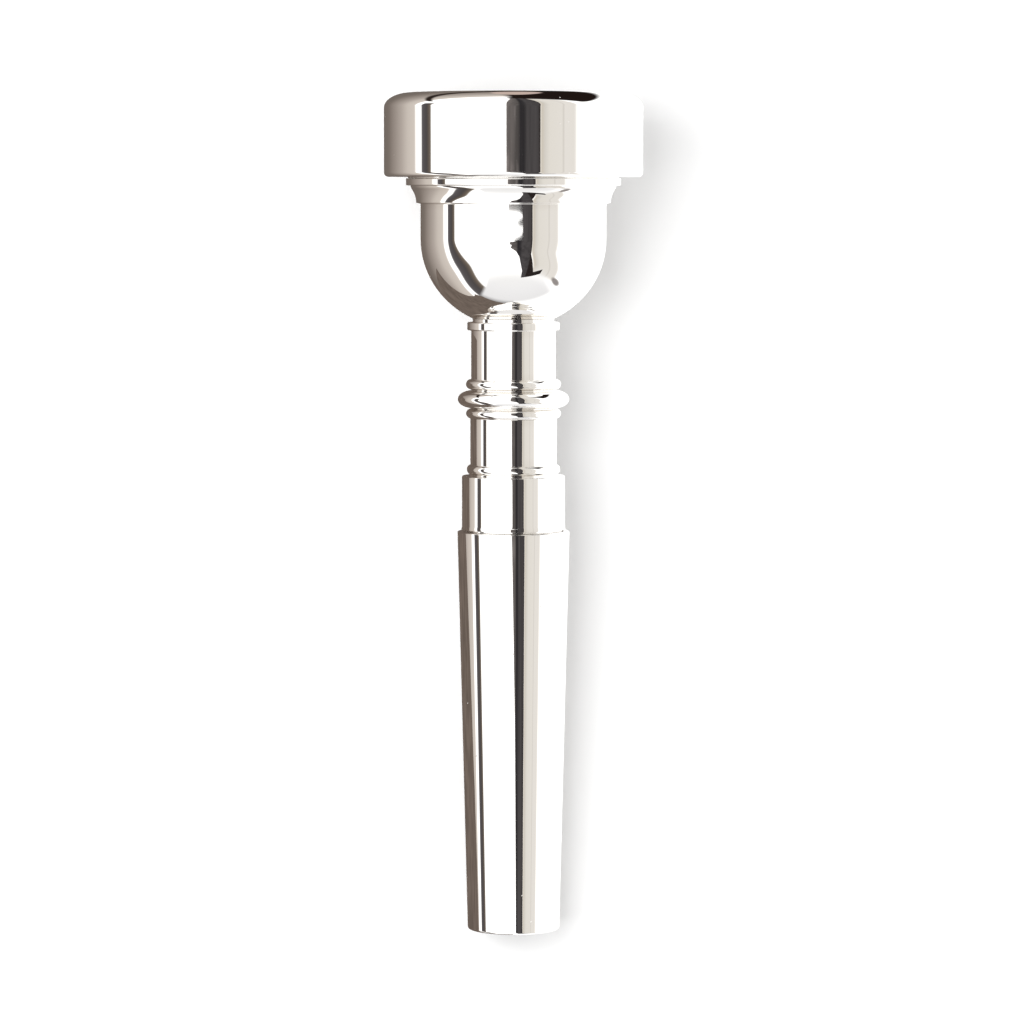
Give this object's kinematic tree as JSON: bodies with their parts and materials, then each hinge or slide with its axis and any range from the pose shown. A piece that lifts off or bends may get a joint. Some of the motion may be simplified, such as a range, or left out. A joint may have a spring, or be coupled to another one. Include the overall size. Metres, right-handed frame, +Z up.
{
  "type": "trumpet mouthpiece",
  "caption": "Mirror-plated screw-rim trumpet mouthpiece: rounded rim, bowl-shaped cup, beaded stem, and a slip-on tapered shank sleeve.",
  "frame": {"origin": "the point on the resting plane under the middle of the overall box, the mouthpiece lying on its rim's heel and its shank's tip", "axes": "+Y along the mouthpiece towards the rim, +Z up from the surface it lies on; the mouthpiece's own axis is tilted 6.26 degrees up from +Y because the rim is wider than the shank"},
  "size_m": [0.027, 0.089, 0.0276],
  "materials": {
    "silver_plate": "brass turned and polished, silver plated to a mirror",
    "seal_rubber": "black nitrile rubber, satin"
  },
  "bodies": {
    "sleeve": {"shank_sleeve": "silver_plate"},
    "backbore": {"backbore": "silver_plate"},
    "lower_seal": {"backbore_o_ring": "seal_rubber"},
    "cup": {"cup": "silver_plate"},
    "upper_seal": {"rim_o_ring": "seal_rubber"},
    "rim": {"rim": "silver_plate"}
  },
  "joints": [
    {"name": "sleeve_pull", "type": "slide", "parent": "sleeve", "child": "backbore", "axis": [0, 0.994, 0.109], "range_m": [0, 0.042]},
    {"name": "cup_lift", "type": "slide", "parent": "backbore", "child": "lower_seal", "axis": [0, 0.994, 0.109], "range_m": [0, 0.00676]},
    {"name": "cup_turn", "type": "hinge", "parent": "lower_seal", "child": "cup", "pos_m": [0, 0.02338, 0.01215], "axis": [0, 0.994, 0.109], "range_deg": [0, 3240]},
    {"name": "rim_lift", "type": "slide", "parent": "cup", "child": "upper_seal", "axis": [0, 0.994, 0.109], "range_m": [0, 0.00561]},
    {"name": "rim_turn", "type": "hinge", "parent": "upper_seal", "child": "rim", "pos_m": [0, 0.0373, 0.01367], "axis": [0, 0.994, 0.109], "range_deg": [0, 2520]}
  ],
  "couplings": [
    {"joint": "cup_lift", "follows": "cup_turn", "m_per_rad": 0.00011937},
    {"joint": "rim_lift", "follows": "rim_turn", "m_per_rad": 0.00012732}
  ]
}
